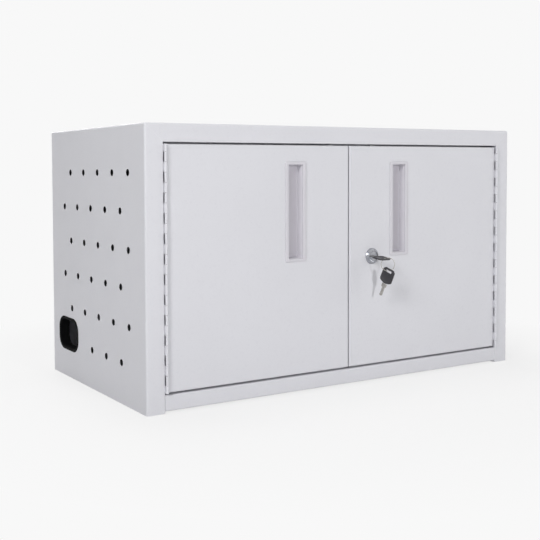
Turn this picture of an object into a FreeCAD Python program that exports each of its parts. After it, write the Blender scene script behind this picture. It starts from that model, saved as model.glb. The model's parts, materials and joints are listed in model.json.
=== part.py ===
import FreeCAD, Part
import math
import os
import re
import Sketcher

Vector = FreeCAD.Vector
Rotation = FreeCAD.Rotation

# Driving dimensions, in millimetres and degrees. +X is the cabinet's right, +Y its back, +Z up.
SIZES = {
    # Shell of bent sheet with its front frame
    "width": 700,
    "depth": 350,
    "height": 400,
    "sheet": 1.2,
    "bend": 3,
    "stile": 28.5,
    "top_rail": 26.1,
    "frame_return": 23.5,
    "frame_edge": 1.2,
    "mitre_low": 1,
    "mitre_start": 2,
    "stop_lip": 8,
    "stop_inset": 14,
    "foot_flange": 20,
    # Bottom panel with the front rail
    "floor_height": 25.3,
    "rail_lift": 2.6,
    "rail_setback": 0.4,
    "rail_seam": 0.3,
    "rail_bend": 2.2,
    "rail_return": 18,
    "rib_wide": 40,
    "rib_end": 5,
    # Back panel with its wall holes
    "back_flange": 14,
    "back_fit": 0.2,
    "back_lift": 2,
    "wall_hole": 9,
    "wall_span_x": 500,
    "wall_span_z": 240,
    "wall_hole_height": 215,
    # Vent holes and cable outlet of the sides
    "vent": 10,
    "vent_front": 53.8,
    "vent_pitch": 53.5,
    "vent_top": 67.6,
    "vent_row": 54.5,
    "vent_edge": 28,
    "vent_low": 45,
    "vent_web": 8,
    "outlet_from_back": 66.5,
    "outlet_height": 70.6,
    "outlet_width": 81,
    "outlet_tall": 54,
    "outlet_round": 21,
    "grommet_rim": 2,
    "grommet_wall": 2.5,
    "grommet_proud": 0.8,
    "grommet_inside": 14,
    "grommet_lip": 1.5,
    "grommet_fit": 0.3,
    # Doors
    "door_thick": 22,
    "door_sheet": 1,
    "door_bend": 2,
    "gap_top": 2.5,
    "gap_bottom": 3,
    "gap_meeting": 2,
    "stiffener_wide": 40,
    "stiffener_deep": 12,
    "stiffener_lip": 12,
    "stiffener_end": 14,
    "stiffener_x": 215,
    # Continuous hinges
    "knuckle_d": 3.8,
    "knuckle": 14,
    "knuckle_gap": 0.4,
    "leaf": 0.9,
    "leaf_width": 16,
    "leaf_relief": 0.4,
    "leaf_start": 6,
    "pin_d": 2,
    "pin_play": 0.05,
    "pin_proud": 3.2,
    # Recessed pulls
    "pull_x": 101,
    "pull_z": 272.5,
    "pull_wide": 37.5,
    "pull_tall": 149.5,
    "pull_proud": 1.8,
    "pull_bevel": 1,
    "recess_wide": 25.6,
    "recess_tall": 139.5,
    "recess_deep": 13,
    "pull_wall": 1.6,
    "pull_fit": 0.2,
    # Lock with its crank
    "lock_x": 45.5,
    "lock_z": 199,
    "head_d": 25,
    "head_proud": 5,
    "head_bevel": 3.5,
    "barrel_d": 19,
    "barrel_long": 12,
    "barrel_fit": 0.2,
    "nut_corner": 15,
    "nut_thick": 4,
    "plug_d": 14,
    "plug_play": 0.05,
    "plug_recess": 1.2,
    "tail_d": 8,
    "tail_play": 0.05,
    "crank_radius": 12,
    "crank_wide": 11,
    "crank_thick": 2,
    "crank_gap": 0.4,
    "crank_pin": 4,
    "crank_turn": 45,
    "screw_head_d": 9,
    "screw_head": 2.5,
    "screw_d": 4,
    "screw_play": 0.2,
    # Lock rods and slide bolts
    "rod_wide": 8,
    "rod_thick": 3,
    "rod_offset": 12.6,
    "rod_gap": 0.5,
    "rod_play": 0.4,
    "tip_clear": 0.7,
    "yoke_play": 0.6,
    "yoke_wall": 3,
    "guide_wide": 18,
    "guide_tall": 14,
    "guide_back": 2.5,
    "guide_inset": 34,
    "bolt_x": 24,
    "bolt_long": 62,
    "bolt_travel": 12,
    "finger_deep": 9,
    "finger_tall": 6,
    # Keys and ring
    "bow_long": 25.5,
    "bow_wide": 22.5,
    "bow_thick": 2.2,
    "bow_corner": 5,
    "bow_round": 2,
    "slot_long": 11,
    "slot_wide": 4.4,
    "slot_bar": 2.6,
    "shoulder_long": 5.5,
    "shoulder_wide": 8.5,
    "blade_long": 14.8,
    "blade_wide": 5,
    "blade_thick": 1.8,
    "blade_notch": 0.8,
    "keyway_play": 0.15,
    "key_droop": 7,
    "bow_step": 0.15,
    "ring_d": 21,
    "ring_wire": 1.2,
    "ring_play": 1.1,
    "ring_yaw": 38,
    "ring_slip": 3.9,
    "spare_yaw": 75,
    "spare_tilt": 22,
    "spare_slip": 2,
    # Partition, tray and dividers
    "partition_from_back": 117,
    "partition_sheet": 1,
    "partition_top": 300,
    "partition_foot": 15,
    "shelf_deep": 64,
    "shelf_lip": 10,
    "tray_thick": 3,
    "tray_front": 9,
    "rack_clear": 7.5,
    "bay_count": 12,
    "divider_thick": 2,
    "divider_tall": 235,
    "divider_low": 150,
    "divider_flat": 80,
    "divider_inset": 2,
    "divider_round": 12,
    "tab_long": 30,
    "tab_inset": 25,
    "tab_play": 0.2,
    "tie_d": 6,
    "tie_play": 0.2,
    "tie_inset": 11,
    "spacer_d": 10,
    "tie_end": 7,
    "tie_nut_corner": 5.8,
    "tie_nut_thick": 5,
    # Charging hub
    "hub_tall": 42,
    "hub_deep": 55,
    "hub_wall": 2,
    "hub_front": 3,
    "cover_thick": 3,
    "socket_wide": 15,
    "socket_tall": 9,
    "socket_deep": 13,
    "mouth_wide": 12.6,
    "mouth_tall": 5.6,
    "mouth_deep": 10,
    "socket_play": 0.1,
    "board_thick": 1.6,
    "board_edge": 3,
    "rocker_wide": 9,
    "rocker_tall": 17,
    "rocker_deep": 7,
    "rocker_proud": 1.5,
    "rocker_play": 0.8,
    "switch_end": 18,
    "rocker_from_end": 10.5,
    "trunnion_d": 3,
    "trunnion_play": 0.05,
    "switch_wall": 1.6,
    "gland_d": 12,
    "gland_bore": 8,
    "gland_collar": 18,
    "gland_out": 12,
    "gland_in": 8,
    "gland_fit": 0.1,
    "foot_screw_inset": 40,
    "foot_screw": 8,
    "hub_screw": 6,
    "boss_d": 9,
    "boss_roof": 1.2,
}

# Places that follow from the driving dimensions
PLACES = {
    "front": "-depth / 2",
    "back": "depth / 2",
    "side": "width / 2",
    "inside": "side - sheet",
    "opening": "side - stile",
    "opening_top": "height - top_rail",
    "frame_back": "front + frame_return",
    "rail_face": "front + rail_setback",
    "tongue": "opening - rail_seam",
    "rib_half": "side - foot_flange - rib_end",
    "back_half": "inside - back_fit",
    "back_top": "height - sheet - back_fit",
    "vent_columns": "floor((depth - vent_edge - vent_front) / vent_pitch + 0.5)",
    "vent_rows": "floor((height - vent_low - vent_top) / vent_row + 1)",
    "outlet_y": "back - outlet_from_back",
    "outlet_corner": "min(outlet_round; 0.42 * outlet_tall)",
    "door_top": "opening_top - gap_top",
    "door_bottom": "floor_height + gap_bottom",
    "door_outer": "opening - knuckle_d",
    "door_inner": "gap_meeting / 2",
    "door_back": "front + door_thick",
    "pin_x": "opening - knuckle_d / 2",
    "pin_y": "front - pin_proud",
    "hinge_long": "door_top - door_bottom",
    "door_knuckles": "floor((hinge_long / knuckle + 0.4) / 2)",
    "end_knuckle": "(hinge_long - (2 * door_knuckles - 1) * knuckle) / 2",
    "tub_wide": "recess_wide + 2 * pull_wall",
    "tub_tall": "recess_tall + 2 * pull_wall",
    "head_face": "front - head_proud",
    "plug_face": "head_face + plug_recess",
    "barrel_end": "front + barrel_long",
    "crank_face": "barrel_end + crank_gap",
    "crank_back": "crank_face + crank_thick",
    "rod_face": "crank_back + rod_gap",
    "rod_back": "rod_face + rod_thick",
    "upper_tip": "opening_top - tip_clear",
    "lower_tip": "floor_height + tip_clear",
    "pin_drop": "crank_radius * sin(crank_turn * 1 deg)",
    "pin_near": "crank_radius * cos(crank_turn * 1 deg)",
    "yoke_half": "crank_pin / 2 + yoke_play",
    "guide_y": "front + door_sheet",
    "key_stop": "plug_face",
    "bow_start": "key_stop - shoulder_long",
    "slot_mid": "bow_long - slot_bar - slot_wide / 2",
    "partition_y": "back - partition_from_back",
    "tray_y": "door_back + tray_front",
    "rack_half": "opening - rack_clear",
    "tray_top": "floor_height + tray_thick",
    "divider_half": "rack_half - divider_thick / 2",
    "bay_pitch": "2 * divider_half / bay_count",
    "divider_y": "tray_y + divider_inset",
    "divider_back": "partition_y - divider_inset",
    "divider_top": "tray_top + divider_tall",
    "tie_y": "divider_back - tie_inset",
    "tie_z": "divider_top - tie_inset",
    "hub_y": "partition_y + hub_front",
    "case_y": "hub_y + cover_thick",
    "hub_z": "partition_top",
    "hub_top": "hub_z + hub_tall",
    "hub_mid": "hub_z + hub_tall / 2",
    "hub_right": "rack_half + switch_end",
    "rocker_x": "hub_right - rocker_from_end",
    "rocker_axis": "hub_y + cover_thick + switch_wall + trunnion_d / 2",
    "gland_y": "case_y + hub_deep / 2",
    "boss_hole": "hub_screw - partition_sheet + 2 * screw_play",
}

doc = FreeCAD.newDocument("tablet_charging_box")
dims = doc.addObject("Spreadsheet::Sheet", "dims")
NODES = {}


def fill_sheet():
    """One row per size: its name in column A, its value or formula in column B under that name."""
    row = 0
    for alias, number in SIZES.items():
        row += 1
        dims.set(f"A{row}", alias)
        dims.set(f"B{row}", str(number))
        dims.setAlias(f"B{row}", alias)
    for alias, formula in PLACES.items():
        row += 1
        dims.set(f"A{row}", alias)
        dims.set(f"B{row}", "=" + formula)
        dims.setAlias(f"B{row}", alias)
    doc.recompute()


def ref(text):
    """Expression text with every size name pointed at the sheet."""
    def point(match):
        word = match.group()
        return "dims." + word if word in SIZES or word in PLACES else word
    return re.sub(r"[A-Za-z_]\w*", point, str(text))


def value(text):
    """Present value of an expression."""
    return float(dims.evalExpression(ref(text)))


def count(text):
    """Present value of an expression that is a whole number."""
    return int(round(value(text)))


def node(name, obj):
    """Name a finished sub-part."""
    obj.Label = name
    NODES[name] = obj
    return obj


def bind(obj, **expressions):
    for prop, text in expressions.items():
        obj.setExpression(prop, ref(text))
    return obj


def place(obj, x, y, z):
    for axis, text in zip("xyz", (x, y, z)):
        obj.setExpression(f".Placement.Base.{axis}", ref(text))
    return obj


# Part primitives and booleans

def block(name, x0, x1, y0, y1, z0, z1):
    """Box between two corners."""
    obj = doc.addObject("Part::Box", name)
    bind(obj, Length=f"({x1}) - ({x0})", Width=f"({y1}) - ({y0})", Height=f"({z1}) - ({z0})")
    return place(obj, x0, y0, z0)


AXIS_TURN = {
    "x": Rotation(Vector(0, 1, 0), 90),
    "y": Rotation(Vector(1, 0, 0), -90),
    "z": Rotation(),
}


def cylinder(name, axis, x, y, z, diameter, length):
    """Cylinder that starts at a point and runs along an axis."""
    obj = doc.addObject("Part::Cylinder", name)
    obj.Placement = FreeCAD.Placement(Vector(), AXIS_TURN[axis])
    bind(obj, Radius=f"({diameter}) / 2", Height=length)
    return place(obj, x, y, z)


def hexagon(name, axis, x, y, z, corner, length):
    """Hexagonal bar with a given radius to its corners."""
    obj = doc.addObject("Part::Prism", name)
    obj.Polygon = 6
    obj.Placement = FreeCAD.Placement(Vector(), AXIS_TURN[axis])
    bind(obj, Circumradius=corner, Height=length)
    return place(obj, x, y, z)


def fuse(name, *shapes):
    obj = doc.addObject("Part::MultiFuse", name)
    obj.Shapes = list(shapes)
    return obj


def cut(name, base, *tools):
    obj = doc.addObject("Part::Cut", name)
    obj.Base = base
    obj.Tool = tools[0] if len(tools) == 1 else fuse(name + "_tools", *tools)
    return obj


def common(name, base, tool):
    obj = doc.addObject("Part::Common", name)
    obj.Base = base
    obj.Tool = tool
    return obj


def group(name, shapes):
    """Several separate solids in one sub-part."""
    obj = doc.addObject("Part::Compound", name)
    obj.Links = list(shapes)
    return obj


# Bodies, sketches and features

NORMAL_SIGN = {"XY_Plane": 1, "XZ_Plane": -1, "YZ_Plane": 1}


def new_body(name, base=None):
    body = doc.addObject("PartDesign::Body", name)
    if base is not None:
        body.BaseFeature = base
    return body


def origin_feature(body, role):
    return [feature for feature in body.Origin.OriginFeatures if feature.Role == role][0]


def new_sketch(body, plane, at="0"):
    """Sketch on one of the body's planes, moved along that plane's axis."""
    sketch = body.newObject("Sketcher::SketchObject", body.Name + "_sketch")
    sketch.AttachmentSupport = (origin_feature(body, plane), "")
    sketch.MapMode = "FlatFace"
    sketch.setExpression(".AttachmentOffset.Base.z", ref(f"{NORMAL_SIGN[plane]} * ({at})"))
    return sketch


def fix_point(sketch, geometry, end, u, v):
    """Hold a point at two distances from the sketch's origin."""
    for kind, text in (("DistanceX", u), ("DistanceY", v)):
        index = sketch.addConstraint(Sketcher.Constraint(kind, -1, 1, geometry, end, value(text)))
        sketch.setExpression(f"Constraints[{index}]", ref(text))


def outline(sketch, points):
    """Closed outline of straight lines through points."""
    spots = [Vector(value(u), value(v), 0) for u, v in points]
    first = sketch.GeometryCount
    total = len(spots)
    for i in range(total):
        sketch.addGeometry(Part.LineSegment(spots[i], spots[(i + 1) % total]), False)
    for i in range(total):
        following = first + (i + 1) % total
        sketch.addConstraint(Sketcher.Constraint("Coincident", first + i, 2, following, 1))
    for i, (u, v) in enumerate(points):
        fix_point(sketch, first + i, 1, u, v)
    return sketch


def rectangle(sketch, u0, v0, u1, v1):
    return outline(sketch, [(u0, v0), (u1, v0), (u1, v1), (u0, v1)])


def centred(sketch, u, v, wide, tall):
    """Rectangle about a middle point."""
    return rectangle(sketch, f"{u} - ({wide}) / 2", f"{v} - ({tall}) / 2", f"{u} + ({wide}) / 2",
                     f"{v} + ({tall}) / 2")


def circle(sketch, u, v, diameter):
    spot = Vector(value(u), value(v), 0)
    index = sketch.addGeometry(Part.Circle(spot, Vector(0, 0, 1), value(diameter) / 2), False)
    fix_point(sketch, index, 3, u, v)
    size = sketch.addConstraint(Sketcher.Constraint("Radius", index, value(diameter) / 2))
    sketch.setExpression(f"Constraints[{size}]", ref(f"({diameter}) / 2"))
    return sketch


def sketch_plane(sketch):
    return sketch.AttachmentSupport[0][0].Role


def pad(body, sketch, length, towards=1):
    """Material added from the sketch along its axis, forwards or backwards."""
    feature = body.newObject("PartDesign::Pad", body.Name + "_pad")
    feature.Profile = sketch
    feature.Reversed = towards != NORMAL_SIGN[sketch_plane(sketch)]
    bind(feature, Length=length)
    doc.recompute()
    return feature


def pad_both(body, sketch, length):
    """Material added half to each side of the sketch."""
    feature = pad(body, sketch, length)
    feature.Midplane = True
    doc.recompute()
    return feature


def pocket(body, sketch, length, towards=1):
    """Material taken away from the sketch along its axis, forwards or backwards."""
    before = body.Shape.Volume
    feature = body.newObject("PartDesign::Pocket", body.Name + "_pocket")
    feature.Profile = sketch
    feature.Reversed = towards == NORMAL_SIGN[sketch_plane(sketch)]
    bind(feature, Length=length)
    doc.recompute()
    if body.Shape.Volume >= before:
        raise RuntimeError(f"{body.Name}: a pocket cut nothing")
    return feature


def repeat(body, feature, role, spacing, copies):
    """Copies of a feature in a row along one of the body's axes."""
    pattern = body.newObject("PartDesign::LinearPattern", body.Name + "_pattern")
    pattern.Originals = [feature]
    pattern.Direction = (origin_feature(body, role), [""])
    bind(pattern, Length=f"({spacing}) * (({copies}) - 1)", Occurrences=copies)
    body.Tip = pattern
    doc.recompute()
    return pattern


def near(a, text):
    return abs(a - value(text)) < 1e-4


def rounded(body, radius, test, kind="Fillet"):
    """Edges whose middle passes the test, rounded or bevelled."""
    base = body.Tip
    picked = []
    for i, edge in enumerate(base.Shape.Edges):
        if test(edge.CenterOfMass, edge):
            picked.append(f"Edge{i + 1}")
    feature = body.newObject("PartDesign::" + kind, body.Name + "_" + kind.lower())
    feature.Base = (base, picked)
    bind(feature, **{"Radius" if kind == "Fillet" else "Size": radius})
    doc.recompute()
    return feature


def bar_outline(body, plane, at, points, length, towards=1):
    """Body made by one outline carried along an axis."""
    pad(body, outline(new_sketch(body, plane, at), points), length, towards)
    return body


# Shell: left side, top and right side, bent from sheet with the frame's flanges

def shell_block(name, x, y0, y1, z0, z1, radius):
    """Block with its front upright edges and its top edges bent round."""
    body = new_body(name)
    pad(body, rectangle(new_sketch(body, "XZ_Plane", y0), f"-({x})", z0, x, z1), f"({y1}) - ({y0})")

    def bent(middle, edge):
        at_side = near(abs(middle.x), x)
        at_front = near(middle.y, y0)
        at_top = near(middle.z, z1)
        return at_side + at_front + at_top == 2
    rounded(body, radius, bent)
    return body


def rod_places():
    """Centres of the rods and bolts that pass the frame: x at the top and x at the bottom."""
    upper = ["lock_x + rod_offset", "-bolt_x"]
    lower = ["lock_x - rod_offset", "-bolt_x"]
    return upper, lower


def rod_slot(sketch, x, play):
    """Outline of a rod's section with play all round."""
    half = f"(rod_wide / 2 + {play})"
    return rectangle(sketch, f"{x} - {half}", f"rod_face - {play}", f"{x} + {half}", f"rod_back + {play}")


def make_shell():
    outer = shell_block("shell_outer", "side", "front", "back", "0", "height", "bend")
    inner = shell_block("shell_inner", "inside", "front + sheet", "back + bend", "-bend",
                        "height - sheet", "bend - sheet")
    body = new_body("shell", cut("shell_skin", outer, inner))
    doc.recompute()

    mouth = rectangle(new_sketch(body, "XZ_Plane", "front"), "-opening", "-bend", "opening", "opening_top")
    pocket(body, mouth, "sheet + frame_edge")

    returns = outline(new_sketch(body, "XZ_Plane", "front"), [
        ("-opening - sheet", "0"), ("-opening - sheet", "opening_top + sheet"),
        ("opening + sheet", "opening_top + sheet"), ("opening + sheet", "0"),
        ("opening", "0"), ("opening", "opening_top"), ("-opening", "opening_top"), ("-opening", "0")])
    pad(body, returns, "frame_return")

    def mouth_edge(middle, edge):
        on_side = near(abs(middle.x), "opening") and edge.Length > value("top_rail")
        on_top = near(middle.z, "opening_top")
        return near(middle.y, "front") and (on_side or on_top)
    rounded(body, "frame_edge", mouth_edge)

    lip = rectangle(new_sketch(body, "XZ_Plane", "frame_back"), "-opening + stop_inset",
                    "opening_top - stop_lip", "opening - stop_inset", "opening_top + sheet")
    pad(body, lip, "sheet", -1)

    for sign in ("-", ""):
        edges = sorted((f"{sign}side", f"{sign}(side - foot_flange)"), key=value)
        foot = rectangle(new_sketch(body, "XY_Plane"), edges[0], "front + bend", edges[1],
                         "back - back_flange")
        pad(body, foot, "sheet")

    for x in rod_places()[0]:
        slot = rod_slot(new_sketch(body, "XY_Plane", "opening_top"), x, "rod_play")
        pocket(body, slot, "2 * sheet")

    vents = new_sketch(body, "YZ_Plane", "-side - sheet")
    for row in range(count("vent_rows")):
        for column in range(count("vent_columns")):
            y = f"front + vent_front + {column} * vent_pitch + {row % 2} * vent_pitch / 2"
            z = f"height - vent_top - {row} * vent_row"
            clear_y = abs(value(f"{y} - outlet_y")) > value("outlet_width / 2 + vent_web")
            clear_z = abs(value(f"{z} - outlet_height")) > value("outlet_tall / 2 + vent_web")
            if clear_y or clear_z:
                circle(vents, y, z, "vent")
    pocket(body, vents, "width + 2 * sheet")
    return body


def outlet_bar(name, x, length, shrink):
    """Bar across the side panel with the outlet's outline, a rectangle with large round corners."""
    body = new_body(name)
    shape = centred(new_sketch(body, "YZ_Plane", x), "outlet_y", "outlet_height",
                    f"outlet_width - 2 * ({shrink})", f"outlet_tall - 2 * ({shrink})")
    pad(body, shape, length)

    def along(middle, edge):
        return near(abs(edge.Vertexes[0].X - edge.Vertexes[-1].X), length)
    rounded(body, f"outlet_corner - ({shrink})", along)
    return body


def split_shell(shell):
    """Three panels, parted along the mitres of the front frame. A mitre starts at half a right angle through the
    bend of the mouth's corner and then runs to just below the outer corner."""
    low = "opening_top - stop_lip - bend"
    high = "height - mitre_low + bend * (top_rail - mitre_low - mitre_start) / (stile - mitre_start)"
    start = ("opening + mitre_start", "opening_top + mitre_start")
    zones = {}
    for zone, points in (
            ("left", [("-side - bend", "-bend"), ("-opening", "-bend"), ("-opening", "opening_top"),
                      (f"-({start[0]})", start[1]), ("-side - bend", high)]),
            ("right", [("opening", "-bend"), ("side + bend", "-bend"), ("side + bend", high), start,
                       ("opening", "opening_top")]),
            ("top", [("-opening", low), ("opening", low), ("opening", "opening_top"), start,
                     ("side + bend", high), ("-side - bend", high), (f"-({start[0]})", start[1]),
                     ("-opening", "opening_top")])):
        zones[zone] = bar_outline(new_body(f"{zone}_zone"), "XZ_Plane", "front - bend", points,
                                  "depth + 2 * bend")

    hole = outlet_bar("outlet_hole", "-side - sheet", "3 * sheet", "grommet_rim - grommet_fit")
    node("left_side_panel", cut("left_side", common("left_skin", shell, zones["left"]), hole))
    node("right_side_panel", common("right_side", shell, zones["right"]))
    node("top_panel", common("top", shell, zones["top"]))


def make_grommet():
    """Black lining of the cable outlet: outer rim, sleeve through the sheet and inner lip."""
    rim = outlet_bar("grommet_rim_bar", "-side - grommet_proud", "grommet_proud", "0")
    sleeve = outlet_bar("grommet_sleeve", "-side - grommet_proud",
                        "grommet_proud + sheet + grommet_inside", "grommet_rim")
    lip = outlet_bar("grommet_inner_lip", "-inside", "grommet_lip", "0")
    bore = outlet_bar("grommet_bore", "-side - 2 * grommet_proud",
                      "2 * grommet_proud + 2 * sheet + grommet_inside", "grommet_rim + grommet_wall")
    node("cable_outlet_grommet", cut("grommet", fuse("grommet_solid", rim, sleeve, lip), bore))


def make_bottom():
    """Cabinet floor that folds down at the front into the bottom rail, with a channel under its middle."""
    body = new_body("bottom")
    floor_plate = outline(new_sketch(body, "XY_Plane", "floor_height - sheet"), [
        ("-tongue", "rail_face"), ("tongue", "rail_face"), ("tongue", "frame_back"), ("inside", "frame_back"),
        ("inside", "back - back_flange"), ("-inside", "back - back_flange"), ("-inside", "frame_back"),
        ("-tongue", "frame_back")])
    pad(body, floor_plate, "sheet")
    rail = outline(new_sketch(body, "YZ_Plane"), [
        ("rail_face", "rail_lift"), ("rail_face + rail_return", "rail_lift"),
        ("rail_face + rail_return", "rail_lift + sheet"), ("rail_face + sheet", "rail_lift + sheet"),
        ("rail_face + sheet", "floor_height"), ("rail_face", "floor_height")])
    pad_both(body, rail, "2 * tongue")
    wall = "rib_wide / 2"
    wall_inner = "(rib_wide / 2 - sheet)"
    under = "floor_height - sheet"
    rib = outline(new_sketch(body, "YZ_Plane"), [
        (f"-{wall}", "0"), (wall, "0"), (wall, under), (wall_inner, under), (wall_inner, "sheet"),
        (f"-{wall_inner}", "sheet"), (f"-{wall_inner}", under), (f"-{wall}", under)])
    pad_both(body, rib, "2 * rib_half")

    def bend_line(middle, edge):
        across = near(edge.Length, "2 * tongue") and near(middle.y, "rail_face")
        on_rail = across and (near(middle.z, "floor_height") or near(middle.z, "rail_lift"))
        on_rib = near(abs(middle.y), wall) and near(middle.z, "0") and near(edge.Length, "2 * rib_half")
        return on_rail or on_rib
    rounded(body, "min(rail_bend; 1.8 * sheet)", bend_line)
    for x in rod_places()[1]:
        slot = rod_slot(new_sketch(body, "XY_Plane", "floor_height"), x, "rod_play")
        pocket(body, slot, "2 * sheet", -1)
    holes = new_sketch(body, "XY_Plane", "floor_height")
    for x in screw_row():
        circle(holes, x, "partition_y + partition_foot / 2", "screw_d + 2 * screw_play")
    pocket(body, holes, "2 * sheet", -1)
    node("bottom_panel", body)


def screw_row():
    """Screw places across the cabinet, for the partition's foot and the hub."""
    near_end = "(rack_half - foot_screw_inset)"
    return [f"-{near_end}", f"-{near_end} / 3", f"{near_end} / 3", near_end]


def make_back():
    """Shallow pan that closes the back, with holes for wall bolts."""
    body = new_body("back")
    plate = rectangle(new_sketch(body, "XZ_Plane", "back"), "-back_half", "back_lift", "back_half",
                      "back_top")
    pad(body, plate, "back_flange", -1)

    def top_corner(middle, edge):
        return near(abs(middle.x), "back_half") and near(middle.z, "back_top")
    rounded(body, "bend - sheet", top_corner)
    hollow = rectangle(new_sketch(body, "XZ_Plane", "back - back_flange"), "-back_half + sheet",
                       "back_lift + sheet", "back_half - sheet", "back_top - sheet")
    pocket(body, hollow, "back_flange - sheet")
    holes = new_sketch(body, "XZ_Plane", "back - back_flange")
    for x in ("-wall_span_x / 2", "wall_span_x / 2"):
        for z in ("wall_hole_height - wall_span_z / 2", "wall_hole_height + wall_span_z / 2"):
            circle(holes, x, z, "wall_hole")
    pocket(body, holes, "2 * back_flange")
    node("back_panel", body)


# Doors

def side_range(side, near_edge, far_edge):
    """Left and right limits of a span given by its distances from the middle plane."""
    if side == "left":
        return f"-({far_edge})", f"-({near_edge})"
    return near_edge, far_edge


def mirror_x(side, text):
    return f"-({text})" if side == "left" else text


def make_door(side):
    """Door pan with its cut-outs: pull, lock, rods or bolts."""
    body = new_body(f"{side}_door")
    x0, x1 = side_range(side, "door_inner", "door_outer")
    face = rectangle(new_sketch(body, "XZ_Plane", "front"), x0, "door_bottom", x1, "door_top")
    pad(body, face, "door_thick")
    rounded(body, "door_bend", lambda middle, edge: near(middle.y, "front"))
    hollow = rectangle(new_sketch(body, "XZ_Plane", "door_back"), f"{x0} + door_sheet",
                       "door_bottom + door_sheet", f"{x1} - door_sheet", "door_top - door_sheet")
    pocket(body, hollow, "door_thick - door_sheet", -1)
    rounded(body, "door_bend - door_sheet", lambda middle, edge: near(middle.y, "front + door_sheet"))

    mouth = centred(new_sketch(body, "XZ_Plane", "front"), mirror_x(side, "pull_x"), "pull_z",
                    "tub_wide + 2 * pull_fit", "tub_tall + 2 * pull_fit")
    pocket(body, mouth, "2 * door_sheet")
    if side == "right":
        hole = circle(new_sketch(body, "XZ_Plane", "front"), "lock_x", "lock_z", "barrel_d + 2 * barrel_fit")
        pocket(body, hole, "2 * door_sheet")
        upper, lower = "lock_x + rod_offset", "lock_x - rod_offset"
    else:
        upper = lower = "-bolt_x"
    pocket(body, rod_slot(new_sketch(body, "XY_Plane", "door_top"), upper, "rod_play"), "2 * door_sheet", -1)
    pocket(body, rod_slot(new_sketch(body, "XY_Plane", "door_bottom"), lower, "rod_play"), "2 * door_sheet")
    node(f"{side}_door_panel", body)

    stiffener = new_body(f"{side}_stiffener")
    x = mirror_x(side, "stiffener_x")
    low = "guide_y"
    low_inner = "guide_y + door_sheet"
    high = "guide_y + stiffener_deep"
    high_inner = "guide_y + stiffener_deep - door_sheet"
    web = "stiffener_wide / 2"
    web_inner = "(stiffener_wide / 2 - door_sheet)"
    lip = "(stiffener_wide / 2 + stiffener_lip)"
    bar_outline(stiffener, "XY_Plane", "door_bottom + stiffener_end", [
        (f"{x} - {lip}", low), (f"{x} - {web_inner}", low), (f"{x} - {web_inner}", high_inner),
        (f"{x} + {web_inner}", high_inner), (f"{x} + {web_inner}", low), (f"{x} + {lip}", low),
        (f"{x} + {lip}", low_inner), (f"{x} + {web}", low_inner), (f"{x} + {web}", high),
        (f"{x} - {web}", high), (f"{x} - {web}", low_inner), (f"{x} - {lip}", low_inner)],
        "hinge_long - 2 * stiffener_end")
    node(f"{side}_door_stiffener", stiffener)


def make_hinge(side):
    """Continuous hinge: a leaf on the stile, a leaf on the door and the pin through their knuckles."""
    pin = mirror_x(side, "pin_x")
    frame_x = side_range(side, "opening - leaf", "opening")
    door_x = side_range(side, "door_outer", "door_outer + leaf")
    pitch = "2 * knuckle"
    first_door = "door_bottom + end_knuckle"
    make_leaf(f"{side}_hinge_frame_leaf", frame_x, pin, first_door, pitch, "door_knuckles")
    make_leaf(f"{side}_hinge_door_leaf", door_x, pin, f"{first_door} - knuckle", pitch, "door_knuckles + 1")
    wire = cylinder(f"{side}_pin", "z", pin, "pin_y", "door_bottom", "pin_d", "hinge_long")
    node(f"{side}_hinge_pin", wire)


def make_leaf(name, span, pin, first_notch, pitch, notches):
    """Strip with a rolled barrel along its front edge, notched where the other leaf's knuckles turn."""
    body = new_body(name)
    strip = rectangle(new_sketch(body, "XY_Plane", "door_bottom"), span[0], "pin_y", span[1],
                      "pin_y + leaf_width")
    pad(body, strip, "hinge_long")
    barrel = circle(new_sketch(body, "XY_Plane", "door_bottom"), pin, "pin_y", "knuckle_d")
    pad(body, barrel, "hinge_long")
    bore = circle(new_sketch(body, "XY_Plane", "door_bottom"), pin, "pin_y", "pin_d + 2 * pin_play")
    pocket(body, bore, "hinge_long")
    reach = "(knuckle_d / 2 + leaf_relief)"
    notch = rectangle(new_sketch(body, "XY_Plane", f"{first_notch} - knuckle_gap / 2"), f"{pin} - {reach}",
                      f"pin_y - {reach}", f"{pin} + {reach}", "front + leaf_start")
    feature = pocket(body, notch, "knuckle + knuckle_gap")
    repeat(body, feature, "Z_Axis", pitch, notches)
    node(name, body)


def make_pull(side):
    """Plastic tub let into the door, with a rim that laps the sheet."""
    body = new_body(f"{side}_pull_body")
    x = mirror_x(side, "pull_x")

    def frame(at, wide, tall):
        return centred(new_sketch(body, "XZ_Plane", at), x, "pull_z", wide, tall)
    pad(body, frame("front - pull_proud", "pull_wide", "pull_tall"), "pull_proud")
    rounded(body, "pull_bevel", lambda middle, edge: near(middle.y, "front - pull_proud"), "Chamfer")
    pad(body, frame("front", "tub_wide", "tub_tall"), "recess_deep + pull_wall")
    pocket(body, frame("front - pull_proud", "recess_wide", "recess_tall"), "pull_proud + recess_deep")
    node(f"{side}_pull", body)


# Lock, crank, rods and bolts

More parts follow.
